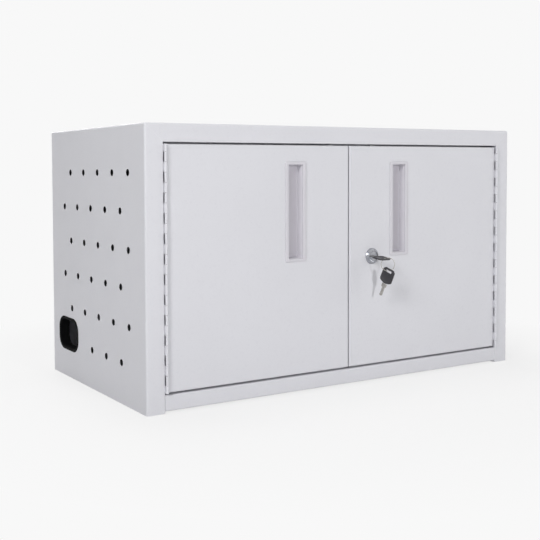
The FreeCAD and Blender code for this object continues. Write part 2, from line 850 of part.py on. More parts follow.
def make_lock():
    head = new_body("lock_head")
    pad(head, circle(new_sketch(head, "XZ_Plane", "head_face"), "lock_x", "lock_z", "head_d"), "head_proud")
    rounded(head, "head_bevel", lambda middle, edge: near(middle.y, "head_face"), "Chamfer")
    barrel = circle(new_sketch(head, "XZ_Plane", "front"), "lock_x", "lock_z", "barrel_d")
    pad(head, barrel, "barrel_long")
    bore = circle(new_sketch(head, "XZ_Plane", "head_face"), "lock_x", "lock_z", "plug_d + 2 * plug_play")
    pocket(head, bore, "head_proud + barrel_long")
    node("lock_body", head)

    nut = hexagon("nut_blank", "y", "lock_x", "guide_y", "lock_z", "nut_corner", "nut_thick")
    hole = cylinder("nut_hole", "y", "lock_x", "front", "lock_z", "barrel_d + 2 * plug_play", "barrel_long")
    node("lock_nut", cut("nut", nut, hole))

    plug = new_body("plug")
    pad(plug, circle(new_sketch(plug, "XZ_Plane", "plug_face"), "lock_x", "lock_z", "plug_d"),
        "barrel_end - plug_face")
    tail = circle(new_sketch(plug, "XZ_Plane", "barrel_end"), "lock_x", "lock_z", "tail_d")
    pad(plug, tail, "crank_gap + crank_thick")
    keyway = centred(new_sketch(plug, "XZ_Plane", "plug_face"), "lock_x", "lock_z",
                     "blade_wide + 2 * keyway_play", "blade_thick + 2 * keyway_play")
    pocket(plug, keyway, "blade_long + keyway_play")
    thread = new_sketch(plug, "XZ_Plane", "crank_back")
    circle(thread, "lock_x", "lock_z", "screw_d + 2 * screw_play")
    pocket(plug, thread, "crank_gap + crank_thick", -1)
    node("lock_plug", plug)


def crank_pins():
    """Places of the two crank pins: right pin low, left pin high."""
    return [("lock_x + pin_near", "lock_z - pin_drop"), ("lock_x - pin_near", "lock_z + pin_drop")]


def make_crank():
    """Plate on the plug's tail with one pin for each rod, and the screw that holds it."""
    body = new_body("crank")
    along = ("cos(crank_turn * 1 deg)", "sin(crank_turn * 1 deg)")
    reach = "(crank_radius + crank_wide / 2)"
    half = "crank_wide / 2"

    def corner(a, b):
        u = f"lock_x + {a} * {reach} * {along[0]} + {b} * {half} * {along[1]}"
        v = f"lock_z - {a} * {reach} * {along[1]} + {b} * {half} * {along[0]}"
        return u, v
    plate = outline(new_sketch(body, "XZ_Plane", "crank_face"), [corner(1, 1), corner(-1, 1), corner(-1, -1),
                                                                  corner(1, -1)])
    pad(body, plate, "crank_thick")
    rounded(body, "0.45 * crank_wide", lambda middle, edge: near(edge.Length, "crank_thick"))
    hole = circle(new_sketch(body, "XZ_Plane", "crank_face"), "lock_x", "lock_z", "tail_d + 2 * tail_play")
    pocket(body, hole, "crank_thick")
    for x, z in crank_pins():
        pad(body, circle(new_sketch(body, "XZ_Plane", "crank_back"), x, z, "crank_pin"),
            "rod_gap + rod_thick + yoke_play")
    node("lock_crank", body)
    head = cylinder("crank_screw_head", "y", "lock_x", "crank_back", "lock_z", "screw_head_d", "screw_head")
    shank = cylinder("crank_screw_shank", "y", "lock_x", "barrel_end", "lock_z", "screw_d",
                     "crank_gap + crank_thick")
    node("crank_screw", fuse("crank_screw_solid", head, shank))


def make_rod(name, end, x, pin):
    """Flat rod with a fork at the crank and its tip just short of the frame."""
    body = new_body(name)
    pin_u, pin_v = pin
    up = end == "upper"
    tip = "upper_tip" if up else "lower_tip"
    heel = f"{pin_v} {'-' if up else '+'} (yoke_half + yoke_wall)"
    v0, v1 = (heel, tip) if up else (tip, heel)
    bar = rectangle(new_sketch(body, "XZ_Plane", "rod_face"), f"{x} - rod_wide / 2", v0,
                    f"{x} + rod_wide / 2", v1)
    pad(body, bar, "rod_thick")
    inward = -1 if up else 1
    slot_near = f"lock_x - {inward} * (pin_near - crank_pin / 2 - yoke_play)"
    slot_far = f"lock_x - {inward} * (crank_radius + crank_pin / 2 + yoke_play)"
    slot_open = f"{slot_near} + {inward} * yoke_wall"
    far_wall = f"{slot_far} - {inward} * yoke_wall"
    rows = (f"{pin_v} - yoke_half - yoke_wall", f"{pin_v} + yoke_half + yoke_wall")
    plate_u = sorted((slot_near, far_wall), key=value)
    plate = rectangle(new_sketch(body, "XZ_Plane", "rod_face"), plate_u[0], rows[0], plate_u[1], rows[1])
    pad(body, plate, "rod_thick")
    slot_u = sorted((slot_open, slot_far), key=value)
    slot = rectangle(new_sketch(body, "XZ_Plane", "rod_face"), slot_u[0], f"{pin_v} - yoke_half", slot_u[1],
                     f"{pin_v} + yoke_half")
    pocket(body, slot, "rod_thick")
    node(name, body)


def guide(name, x, z):
    """Block on the door's inner face with a slot that a rod slides through."""
    body = new_body(name)
    half = "guide_wide / 2"
    outer = rectangle(new_sketch(body, "XY_Plane", z), f"{x} - {half}", "guide_y", f"{x} + {half}",
                      "rod_back + guide_back")
    pad(body, outer, "guide_tall")
    pocket(body, rod_slot(new_sketch(body, "XY_Plane", z), x, "rod_play"), "guide_tall")
    return body


def make_rods():
    right_pin, left_pin = crank_pins()
    high = "door_top - guide_inset - guide_tall"
    low = "door_bottom + guide_inset"
    make_rod("upper_lock_rod", "upper", "lock_x + rod_offset", right_pin)
    make_rod("lower_lock_rod", "lower", "lock_x - rod_offset", left_pin)
    node("lock_rod_guides", group("rod_guides", [guide("upper_rod_guide", "lock_x + rod_offset", high),
                                                 guide("lower_rod_guide", "lock_x - rod_offset", low)]))
    node("left_bolt_guides", group("bolt_guides", [guide("upper_bolt_guide", "-bolt_x", high),
                                                   guide("lower_bolt_guide", "-bolt_x", low)]))
    make_bolt("left_upper_bolt", "upper")
    make_bolt("left_lower_bolt", "lower")


def make_bolt(name, end):
    """Flat bolt of the left door with a finger piece at its inner end."""
    body = new_body(name)
    tip = "upper_tip" if end == "upper" else "lower_tip"
    away = -1 if end == "upper" else 1
    heel = f"{tip} + {away} * (bolt_long + bolt_travel)"
    v = sorted((tip, heel), key=value)
    bar = rectangle(new_sketch(body, "XZ_Plane", "rod_face"), "-bolt_x - rod_wide / 2", v[0],
                    "-bolt_x + rod_wide / 2", v[1])
    pad(body, bar, "rod_thick")
    grip = sorted((heel, f"{heel} - {away} * finger_tall"), key=value)
    finger = rectangle(new_sketch(body, "XZ_Plane", "rod_back"), "-bolt_x - rod_wide / 2", grip[0],
                       "-bolt_x + rod_wide / 2", grip[1])
    pad(body, finger, "finger_deep")
    node(name, body)


# Keys and ring

def key_bow(name):
    """Flat grip, drawn with its blade end at the origin and its slotted end along +Y."""
    body = new_body(name)
    half = "bow_wide / 2"
    shape = outline(new_sketch(body, "XY_Plane"), [
        ("-shoulder_wide / 2", "0"), ("shoulder_wide / 2", "0"), (half, "bow_corner"),
        (half, "bow_long - bow_corner"), ("bow_wide / 4", "bow_long"), ("-bow_wide / 4", "bow_long"),
        (f"-{half}", "bow_long - bow_corner"), (f"-{half}", "bow_corner")])
    pad_both(body, shape, "bow_thick")
    rounded(body, "bow_round", lambda middle, edge: near(edge.Length, "bow_thick"))
    slot = rectangle(new_sketch(body, "XY_Plane", "bow_thick"), "-slot_long / 2", "slot_mid - slot_wide / 2",
                     "slot_long / 2", "slot_mid + slot_wide / 2")
    pocket(body, slot, "2 * bow_thick", -1)

    def slot_corner(middle, edge):
        return near(edge.Length, "bow_thick") and near(abs(middle.x), "slot_long / 2")
    rounded(body, "0.49 * slot_wide", slot_corner)
    return body


def key_blade(name):
    """Shoulder and notched blade, drawn from the bow at the origin along -Y."""
    body = new_body(name)
    shoulder = "shoulder_wide / 2"
    half = "blade_wide / 2"
    tip = "-shoulder_long - blade_long"
    points = [(shoulder, "0"), (f"-{shoulder}", "0"), (f"-{shoulder}", "-shoulder_long"),
              (f"-{half}", "-shoulder_long")]
    steps = 4
    for i in range(1, steps):
        at = f"-shoulder_long - blade_long * {i} / {steps + 1}"
        points.append((f"-{half}", f"{at} + blade_notch"))
        points.append((f"-{half} + blade_notch", at))
        points.append((f"-{half}", f"{at} - blade_notch"))
    points += [(f"-{half}", f"{tip} + {half}"), (f"-{half} / 3", tip), (f"{half} / 3", tip),
               (half, f"{tip} + {half}"), (half, "-shoulder_long"), (shoulder, "-shoulder_long")]
    pad_both(body, outline(new_sketch(body, "XY_Plane"), points), "blade_thick")
    return body


def make_keys():
    """Key in the lock, ring through its bow and spare key hung on the ring."""
    turn = Rotation(Vector(0, 0, 1), 180)
    blade = node("key_blade", key_blade("key_blade"))
    blade.Placement = FreeCAD.Placement(Vector(), turn)
    place(blade, "lock_x", "bow_start", "lock_z")

    # The grip is bent down a little where it meets the shoulder.
    droop = Rotation(Vector(1, 0, 0), value("key_droop"))
    bow = node("key_bow", key_bow("key_bow"))
    bow.Placement = FreeCAD.Placement(Vector(), droop * turn)
    place(bow, "lock_x", "bow_start - bow_step", "lock_z")
    bend = Vector(value("lock_x"), value("bow_start - bow_step"), value("lock_z"))

    # The ring's chord through the bow runs along its yaw, from the slot to beyond the bow's end.
    radius = value("ring_d / 2")
    rise = value("bow_thick / 2 + ring_wire / 2 + ring_play")
    drop = radius - rise
    chord = math.sqrt(radius ** 2 - drop ** 2)
    yaw = math.radians(value("ring_yaw"))
    hung = Vector(value("ring_slip"), -value("slot_mid") - chord * math.sin(yaw), 0)
    pivot = bend + droop.multVec(hung)
    centre = bend + droop.multVec(hung - Vector(0, 0, drop))
    ring = node("key_ring", doc.addObject("Part::Torus", "ring"))
    bind(ring, Radius1="ring_d / 2", Radius2="ring_wire / 2")
    upright = Rotation(Vector(1, 0, 0), 90)
    ring.Placement = FreeCAD.Placement(centre, droop * Rotation(Vector(0, 0, 1), -value("ring_yaw")) * upright)

    # The spare key hangs at the ring's lowest point, a little off the middle of its slot.
    axle = ring.Placement.Rotation.multVec(Vector(0, 0, 1))
    lowest = axle * axle.z - Vector(0, 0, 1)
    hang = centre + lowest.normalize() * radius
    stance = Rotation(Vector(0, 0, 1), -value("spare_yaw")) * upright
    stance = stance * Rotation(Vector(0, 0, 1), -value("spare_tilt"))
    held = Vector(-value("spare_slip"), value("slot_mid"), 0)
    base = hang - stance.multVec(held)
    for name, make in (("spare_key_bow", key_bow), ("spare_key_blade", key_blade)):
        obj = node(name, make(name))
        obj.Placement = FreeCAD.Placement(base, stance)
    print("ring pivot", pivot, "swing axis", droop.multVec(Vector(math.cos(yaw), -math.sin(yaw), 0)))
    print("spare hang", hang, "spare normal", stance.multVec(Vector(0, 0, 1)))


# Inside: partition, tray, dividers and charging hub

def make_partition():
    """Bent sheet that parts the tablet bay from the rear space, with a shelf for the hub."""
    body = new_body("partition")
    web = "partition_y"
    web_inner = "partition_y + partition_sheet"
    foot = "partition_y + partition_foot"
    foot_top = "floor_height + partition_sheet"
    shelf = "partition_y + shelf_deep"
    shelf_inner = "partition_y + shelf_deep - partition_sheet"
    under_shelf = "partition_top - partition_sheet"
    lip = "partition_top - shelf_lip"
    bar = outline(new_sketch(body, "YZ_Plane"), [
        (web, "floor_height"), (foot, "floor_height"), (foot, foot_top), (web_inner, foot_top),
        (web_inner, under_shelf), (shelf_inner, under_shelf), (shelf_inner, lip), (shelf, lip),
        (shelf, "partition_top"), (web, "partition_top")])
    pad_both(body, bar, "2 * inside")
    for top, y in ((foot_top, "partition_y + partition_foot / 2"), ("partition_top", "gland_y")):
        holes = new_sketch(body, "XY_Plane", top)
        for x in screw_row():
            circle(holes, x, y, "screw_d + 2 * screw_play")
        pocket(body, holes, "partition_sheet", -1)
    node("rear_partition", body)


def screw(name, x, y, z, up, long):
    """Pan-head screw: head on one side of the sheet, shank through it."""
    shank_z = z if up else f"{z} - {long}"
    head_z = f"{z} - screw_head" if up else z
    shank = cylinder(name + "_shank", "z", x, y, shank_z, "screw_d", long)
    head = cylinder(name + "_head", "z", x, y, head_z, "screw_head_d", "screw_head")
    return fuse(name, shank, head)


def make_screws():
    """Screws of the partition's foot, from above, and of the hub, from below its shelf."""
    foot = "floor_height + partition_sheet"
    shelf = "partition_top - partition_sheet"
    screws = []
    for i, x in enumerate(screw_row()):
        foot_y = "partition_y + partition_foot / 2"
        screws.append(screw(f"foot_screw_{i}", x, foot_y, foot, False, "foot_screw"))
        screws.append(screw(f"hub_screw_{i}", x, "gland_y", shelf, True, "hub_screw"))
    node("inside_screws", group("screws", screws))


def make_rack():
    """Slotted tray with upright dividers, tied together near their rear top corner."""
    tray = new_body("tray")
    plate = rectangle(new_sketch(tray, "XY_Plane", "floor_height"), "-rack_half - tab_inset / 4", "tray_y",
                      "rack_half + tab_inset / 4", "partition_y")
    pad(tray, plate, "tray_thick")
    for y in tab_places():
        half = "(divider_thick / 2 + tab_play)"
        sketch = new_sketch(tray, "XY_Plane", "tray_top")
        rectangle(sketch, f"-divider_half - {half}", f"{y} - tab_play", f"-divider_half + {half}",
                  f"{y} + tab_long + tab_play")
        feature = pocket(tray, sketch, "tray_thick", -1)
        repeat(tray, feature, "X_Axis", "bay_pitch", "bay_count + 1")
    node("divider_tray", tray)

    for i in range(count("bay_count") + 1):
        make_divider(i)

    rod = cylinder("tie", "x", "-divider_half - tie_end - divider_thick", "tie_y", "tie_z", "tie_d",
                   "2 * (divider_half + tie_end + divider_thick)")
    node("divider_tie_rod", rod)
    spacers = []
    for i in range(count("bay_count")):
        x = f"-divider_half + divider_thick / 2 + {i} * bay_pitch"
        long = "bay_pitch - divider_thick"
        tube = cylinder(f"spacer_{i}_tube", "x", x, "tie_y", "tie_z", "spacer_d", long)
        bore = cylinder(f"spacer_{i}_bore", "x", x, "tie_y", "tie_z", "tie_d + 2 * tie_play", long)
        spacers.append(cut(f"spacer_{i}", tube, bore))
    node("divider_spacers", group("spacers", spacers))
    nuts = []
    for i, x in enumerate(("-rack_half - tie_nut_thick", "rack_half")):
        blank = hexagon(f"tie_nut_{i}_blank", "x", x, "tie_y", "tie_z", "tie_nut_corner", "tie_nut_thick")
        bore = cylinder(f"tie_nut_{i}_bore", "x", x, "tie_y", "tie_z", "tie_d + 2 * pin_play",
                        "tie_nut_thick")
        nuts.append(cut(f"tie_nut_{i}", blank, bore))
    node("tie_rod_nuts", group("tie_nuts", nuts))


def tab_places():
    """Front ends of a divider's two tabs."""
    return ["divider_y + tab_inset", "divider_back - tab_inset - tab_long"]


def make_divider(i):
    """Plate that stands in the tray's slots, its front top corner sloped away."""
    body = new_body(f"divider_body_{i + 1}")
    bottom = "tray_top"
    points = [("divider_y", bottom)]
    for y in tab_places():
        tab_end = f"{y} + tab_long"
        points += [(y, bottom), (y, "floor_height"), (tab_end, "floor_height"), (tab_end, bottom)]
    points += [("divider_back", bottom), ("divider_back", "divider_top"),
               ("divider_y + divider_flat", "divider_top"), ("divider_y", "tray_top + divider_low")]
    pad_both(body, outline(new_sketch(body, "YZ_Plane"), points), "divider_thick")

    def top_corner(middle, edge):
        return near(edge.Length, "divider_thick") and middle.z > value("tray_top + divider_low / 2")
    rounded(body, "divider_round", top_corner)
    hole = circle(new_sketch(body, "YZ_Plane", "-divider_thick"), "tie_y", "tie_z", "tie_d + 2 * tie_play")
    pocket(body, hole, "2 * divider_thick")
    place(body, f"-divider_half + {i} * bay_pitch", "0", "0")
    node(f"divider_{i + 1:02d}", body)


def bay_middles():
    """Middle of every tablet bay, which is also its socket's place."""
    return [f"(-divider_half + ({i} + 0.5) * bay_pitch)" for i in range(count("bay_count"))]


def make_hub_case():
    """Open-fronted case of flat plates: bosses on its floor take screws, its left end clamps the gland."""
    left = "-rack_half + hub_wall"
    right = "hub_right - hub_wall"
    rear = "case_y + hub_deep"
    rear_inner = "case_y + hub_deep - hub_wall"
    floor = new_body("hub_floor")
    plate = rectangle(new_sketch(floor, "XY_Plane", "hub_z"), left, "case_y", right, rear_inner)
    pad(floor, plate, "hub_wall")
    bosses = new_sketch(floor, "XY_Plane", "hub_z")
    holes = new_sketch(floor, "XY_Plane", "hub_z")
    for x in screw_row():
        circle(bosses, x, "gland_y", "boss_d")
        circle(holes, x, "gland_y", "screw_d + 2 * screw_play")
    pad(floor, bosses, "boss_hole + boss_roof")
    pocket(floor, holes, "boss_hole")

    ends = []
    for half, low, high in (("lower", "hub_z", "hub_mid"), ("upper", "hub_mid", "hub_top")):
        end = new_body(f"hub_left_end_{half}")
        plate = rectangle(new_sketch(end, "YZ_Plane", "-rack_half"), "case_y", low, rear, high)
        pad(end, plate, "hub_wall")
        notch = circle(new_sketch(end, "YZ_Plane", "-rack_half"), "gland_y", "hub_mid",
                       "gland_d + 2 * gland_fit")
        pocket(end, notch, "hub_wall")
        ends.append(end)
    ends.append(block("hub_right_end", right, "hub_right", "case_y", rear, "hub_z", "hub_top"))
    wall = block("hub_rear_wall", left, right, rear_inner, rear, "hub_z", "hub_top")
    roof = block("hub_roof", left, right, "case_y", rear_inner, "hub_top - hub_wall", "hub_top")
    node("hub_case", group("hub_shell", [floor, wall, roof] + ends))


def make_hub():
    """Long charging hub on the partition's shelf with one socket for each bay."""
    make_hub_case()
    cover = new_body("hub_front_plate")
    plate = rectangle(new_sketch(cover, "XZ_Plane", "hub_y"), "-rack_half", "hub_z", "hub_right", "hub_top")
    pad(cover, plate, "cover_thick")
    holes = new_sketch(cover, "XZ_Plane", "hub_y")
    for x in bay_middles():
        centred(holes, x, "hub_mid", "socket_wide + 2 * socket_play", "socket_tall + 2 * socket_play")
    centred(holes, "rocker_x", "hub_mid", "rocker_wide + 2 * rocker_play", "rocker_tall + 2 * rocker_play")
    pocket(cover, holes, "cover_thick")
    node("hub_cover", cover)

    sockets = []
    for i, x in enumerate(bay_middles()):
        outside = block(f"socket_{i}_shell", f"{x} - socket_wide / 2", f"{x} + socket_wide / 2", "hub_y",
                        "hub_y + socket_deep", "hub_mid - socket_tall / 2", "hub_mid + socket_tall / 2")
        mouth = block(f"socket_{i}_mouth", f"{x} - mouth_wide / 2", f"{x} + mouth_wide / 2", "hub_y",
                      "hub_y + mouth_deep", "hub_mid - mouth_tall / 2", "hub_mid + mouth_tall / 2")
        sockets.append(cut(f"socket_{i}", outside, mouth))
    node("hub_sockets", group("sockets", sockets))

    board = block("board", "-rack_half + hub_wall", "rack_half - hub_wall",
                  "hub_y + socket_deep", "hub_y + socket_deep + board_thick",
                  "hub_z + hub_wall + board_edge", "hub_top - hub_wall - board_edge")
    node("hub_circuit_board", board)


def make_switch():
    """Rocker on two stub axles in a small housing behind the hub's cover."""
    housing = new_body("switch_box")
    wide = "rocker_wide + 2 * rocker_play"
    tall = "rocker_tall + 2 * rocker_play"
    deep = "rocker_deep + switch_wall"
    outer = centred(new_sketch(housing, "XZ_Plane", "case_y"), "rocker_x", "hub_mid",
                    f"{wide} + 2 * switch_wall", f"{tall} + 2 * switch_wall")
    pad(housing, outer, f"{deep} + switch_wall")
    hollow = centred(new_sketch(housing, "XZ_Plane", "case_y"), "rocker_x", "hub_mid", wide, tall)
    pocket(housing, hollow, deep)
    axle = circle(new_sketch(housing, "YZ_Plane", f"rocker_x - ({wide}) / 2 - 2 * switch_wall"),
                  "rocker_axis", "hub_mid", "trunnion_d + 2 * trunnion_play")
    pocket(housing, axle, f"{wide} + 4 * switch_wall")
    node("switch_housing", housing)

    rocker = new_body("rocker")
    face = "hub_y - rocker_proud"
    heel = "rocker_axis + rocker_deep / 3"
    profile = outline(new_sketch(rocker, "YZ_Plane", "rocker_x"), [
        (f"{face} + rocker_proud / 2", "hub_mid"), (face, "hub_mid + rocker_tall / 2"),
        ("rocker_axis", "hub_mid + rocker_tall / 2"), (heel, "hub_mid + trunnion_d"),
        (heel, "hub_mid - trunnion_d"), ("rocker_axis", "hub_mid - rocker_tall / 2"),
        (face, "hub_mid - rocker_tall / 2")])
    pad_both(rocker, profile, "rocker_wide")
    stub = circle(new_sketch(rocker, "YZ_Plane", "rocker_x"), "rocker_axis", "hub_mid", "trunnion_d")
    pad_both(rocker, stub, "rocker_wide + 2 * rocker_play + 2 * switch_wall")
    node("hub_rocker", rocker)


def make_gland():
    """Cable gland in the hub's left end: collar outside, sleeve through the wall, bore for the lead."""
    collar = hexagon("gland_collar_bar", "x", "-rack_half - gland_out", "gland_y", "hub_mid",
                     "gland_collar / 2", "gland_out")
    sleeve = cylinder("gland_sleeve", "x", "-rack_half", "gland_y", "hub_mid", "gland_d", "gland_in")
    bore = cylinder("gland_hole", "x", "-rack_half - gland_out", "gland_y", "hub_mid", "gland_bore",
                    "gland_out + gland_in")
    node("hub_cable_gland", cut("gland", fuse("gland_solid", collar, sleeve), bore))


def write_parts():
    """Every object and every solid checked, then one file per sub-part."""
    doc.recompute()
    for obj in doc.Objects:
        if "Invalid" in obj.State or "Error" in obj.State:
            raise RuntimeError(f"{obj.Name} failed: {obj.State}")
    for name, obj in NODES.items():
        if obj.Shape.isNull() or not obj.Shape.isValid() or not obj.Shape.Solids:
            raise RuntimeError(f"{name} has no valid solid")
    os.makedirs("parts", exist_ok=True)
    for name, obj in NODES.items():
        obj.Shape.exportStep(f"parts/{name}.step")
    print(len(NODES), "sub-parts written")


fill_sheet()
split_shell(make_shell())
make_grommet()
make_bottom()
make_back()
for door_side in ("left", "right"):
    make_door(door_side)
    make_hinge(door_side)
    make_pull(door_side)
make_lock()
make_crank()
make_rods()
make_keys()
make_partition()
make_screws()
make_rack()
make_hub()
make_switch()
make_gland()
write_parts()
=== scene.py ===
import json
import math

import bpy
import numpy as np
from mathutils import Matrix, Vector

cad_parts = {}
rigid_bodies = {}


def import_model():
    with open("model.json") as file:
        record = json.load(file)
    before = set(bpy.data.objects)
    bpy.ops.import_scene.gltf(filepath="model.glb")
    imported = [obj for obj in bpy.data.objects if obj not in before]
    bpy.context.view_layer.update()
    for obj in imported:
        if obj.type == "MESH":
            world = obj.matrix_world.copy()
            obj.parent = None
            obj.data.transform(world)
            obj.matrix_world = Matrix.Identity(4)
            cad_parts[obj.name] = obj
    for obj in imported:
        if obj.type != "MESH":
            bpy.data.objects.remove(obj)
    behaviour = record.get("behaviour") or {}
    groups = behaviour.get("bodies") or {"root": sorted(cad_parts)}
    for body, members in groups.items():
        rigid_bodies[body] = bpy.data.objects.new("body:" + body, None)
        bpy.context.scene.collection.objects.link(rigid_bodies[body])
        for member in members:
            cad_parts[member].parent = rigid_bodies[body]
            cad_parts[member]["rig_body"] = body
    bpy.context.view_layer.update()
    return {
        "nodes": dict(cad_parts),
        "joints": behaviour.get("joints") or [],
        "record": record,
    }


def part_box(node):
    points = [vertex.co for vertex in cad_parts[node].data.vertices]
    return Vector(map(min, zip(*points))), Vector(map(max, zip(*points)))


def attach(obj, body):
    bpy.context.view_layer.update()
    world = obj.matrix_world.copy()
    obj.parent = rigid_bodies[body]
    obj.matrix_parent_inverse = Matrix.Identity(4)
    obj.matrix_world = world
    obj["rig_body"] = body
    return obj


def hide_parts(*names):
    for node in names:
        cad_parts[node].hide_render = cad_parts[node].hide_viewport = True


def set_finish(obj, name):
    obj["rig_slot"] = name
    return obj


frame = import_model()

MM = 0.001
NODES = frame["nodes"]
JOINT = {joint["name"]: joint for joint in frame["joints"]}

# Bend of the grip of the key in the lock, distance in millimetres from a grip's blade end to the middle of
# its slot, and brightness of the white paper
DROOP = Matrix.Rotation(math.radians(7), 4, "X")
GRIP_SLOT_Y = 20.7
PAPER = 0.939


# Surfaces

def softened(corners, closed=True, steps=5, guard=0.12):
    """Outline through corners (u, v, radius). Each corner becomes an arc that touches both of its sides,
    worked out as the turn from one touching point to the other about the arc's middle, and a guard point
    stands just outside each end of the arc so that the flats stay flat. An open outline keeps its ends."""
    straight = 0.9999
    c = np.asarray(corners, float)
    p, r = c[:, :2], c[:, 2:]
    before, after = np.roll(p, 1, 0) - p, np.roll(p, -1, 0) - p
    a = before / np.linalg.norm(before, axis=1, keepdims=True)
    b = after / np.linalg.norm(after, axis=1, keepdims=True)
    half = 0.5 * np.arccos(np.clip((a * b).sum(1, keepdims=True), -straight, straight))
    reach = r / np.tan(half)
    inward = (a + b) / np.linalg.norm(a + b, axis=1, keepdims=True)
    middle = p + inward * r / np.sin(half)
    turn = (np.pi - 2 * half)[:, None]
    t = np.linspace(0, 1, steps + 1)[None, :, None]
    start, end = (p + a * reach - middle)[:, None], (p + b * reach - middle)[:, None]
    arc = middle[:, None] + (np.sin((1 - t) * turn) * start + np.sin(t * turn) * end) / np.sin(turn)
    first, last = (p + a * (reach + guard))[:, None], (p + b * (reach + guard))[:, None]
    outline = np.concatenate([first, arc, last], 1)
    if closed:
        return outline.reshape(-1, 2)
    return np.vstack([p[:1], outline[1:-1].reshape(-1, 2), p[-1:]])


def rounded_loops(half_u, half_v, corner, steps=10, guard=0.4):
    """Rounded rectangles, one per row. A point at angle t is a point of the corner's circle, moved out to the
    rectangle's corner of that quarter. A guard point stands before and after each quarter circle."""
    half_u, half_v, corner = (np.asarray(v, float)[:, None] for v in (half_u, half_v, corner))
    quarter = np.concatenate([[0.0], np.linspace(0, np.pi / 2, steps + 1), [np.pi / 2]])
    slide = np.tile(np.concatenate([[-guard], np.zeros(steps + 1), [guard]]), 4)
    t = (np.arange(4)[:, None] * np.pi / 2 + quarter).ravel()
    sign_u = np.repeat([1, -1, -1, 1], len(quarter))
    sign_v = np.repeat([1, 1, -1, -1], len(quarter))
    u = sign_u * (half_u - corner) + corner * np.cos(t) - slide * np.sin(t)
    v = sign_v * (half_v - corner) + corner * np.sin(t) + slide * np.cos(t)
    return u, v


def added(name, data):
    """New object in the scene."""
    thing = bpy.data.objects.new(name, data)
    bpy.context.scene.collection.objects.link(thing)
    return thing


def skin(name, rows, ring=False, smooth=35):
    """Closed mesh over an array of loops, rows by points by xyz in millimetres. Neighbouring loops are joined
    by quads and every loop closes on itself. The last loop joins the first one where ring is set, and
    otherwise each end is closed by a fan to the middle of its loop."""
    rows = np.asarray(rows, float)
    count, around = rows.shape[:2]
    last = count if ring else count - 1
    i, j = np.meshgrid(np.arange(last), np.arange(around), indexing="ij")
    i2, j2 = (i + 1) % count, (j + 1) % around
    quads = np.stack([i * around + j, i * around + j2, i2 * around + j2, i2 * around + j], -1).reshape(-1, 4)
    points = rows.reshape(-1, 3)
    fans = np.zeros((0, 3), int)
    if not ring:
        points = np.vstack([points, rows[0].mean(0), rows[-1].mean(0)])
        k = np.arange(around)
        k2 = (k + 1) % around
        first = np.stack([np.full(around, count * around), k2, k], -1)
        end = (count - 1) * around
        final = np.stack([np.full(around, count * around + 1), end + k, end + k2], -1)
        fans = np.vstack([first, final])
    tris = np.vstack([quads[:, [0, 1, 2]], quads[:, [0, 2, 3]], fans])
    a, b, c = (points[tris[:, n]] for n in range(3))
    if np.einsum("ij,ij->i", a, np.cross(b, c)).sum() < 0:
        quads, fans = quads[:, ::-1], fans[:, ::-1]
    mesh = bpy.data.meshes.new(name)
    mesh.from_pydata((points * MM).tolist(), [], quads.tolist() + fans.tolist())
    mesh.polygons.foreach_set("use_smooth", np.ones(len(mesh.polygons), bool))
    mesh.set_sharp_from_angle(angle=math.radians(smooth))
    mesh.update()
    return added(name, mesh)


def placed(rows, turn, spot):
    """Points turned by a rotation matrix and moved to a spot."""
    return np.asarray(rows) @ np.asarray(turn.to_3x3()).T + np.asarray(spot, float)


def spin(profile, spot, around=96):
    """Profile of (radius, y) carried round an axis along Y through a spot (x, z)."""
    t = np.linspace(0, 2 * np.pi, around, endpoint=False)
    r, y = profile[:, :1], profile[:, 1:]
    return np.stack([spot[0] + r * np.cos(t), y + 0 * t, spot[1] + r * np.sin(t)], -1)


def stands_for(piece, node, slot):
    """Piece takes the place of a node, on that node's body."""
    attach(piece, NODES[node]["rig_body"])
    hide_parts(node)
    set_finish(piece, slot)


def span(node):
    """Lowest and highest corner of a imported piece, in millimetres."""
    low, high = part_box(node)
    return np.array(low) / MM, np.array(high) / MM


# Pieces

def make_pull(side):
    """Moulded tub: a rounded rectangle whose half sizes and depth follow a profile from the back of the tub,
    over the rim, down the recess wall to its floor. The profile's first number is how far it lies outside
    the mouth."""
    node = f"{side}_pull"
    low, high = span(node)
    x, _, z = (low + high) / 2
    front, back = low[1], high[1]
    wall, rim, floor_end = 1.6, 5.5, -6.0
    mouth_half_x, mouth_half_z, rim_x, rim_z = 12.8, 69.75, 5.95, 5.0
    under_rim = front + 1.8 + 0.02
    step_top, step_foot = front + 4.6, front + 5.0
    profile = softened([
        (floor_end, back, 0), (wall, back, 1.2), (wall, under_rim, 0.3), (rim, under_rim, 0.15),
        (rim, front + 0.15, 0.9), (3.9, front, 2.2), (0.9, front, 0.55), (0.0, front + 1.3, 0.5),
        (-0.1, step_top, 0.3), (-0.55, step_foot, 0.3), (-0.75, back - wall, 1.6),
        (floor_end, back - wall, 0)], closed=False)
    outside, y = profile.T
    half_x, half_z = mouth_half_x + outside * rim_x / rim, mouth_half_z + outside * rim_z / rim
    corner = np.clip(1.3 + 0.22 * outside, 0.5, 3.0)
    u, v = rounded_loops(half_x, half_z, corner)
    rows = np.stack([x + u, y[:, None] + 0 * u, z + v], -1)
    stands_for(skin(f"{side}_recessed_pull", rows), node, "pull_plastic")


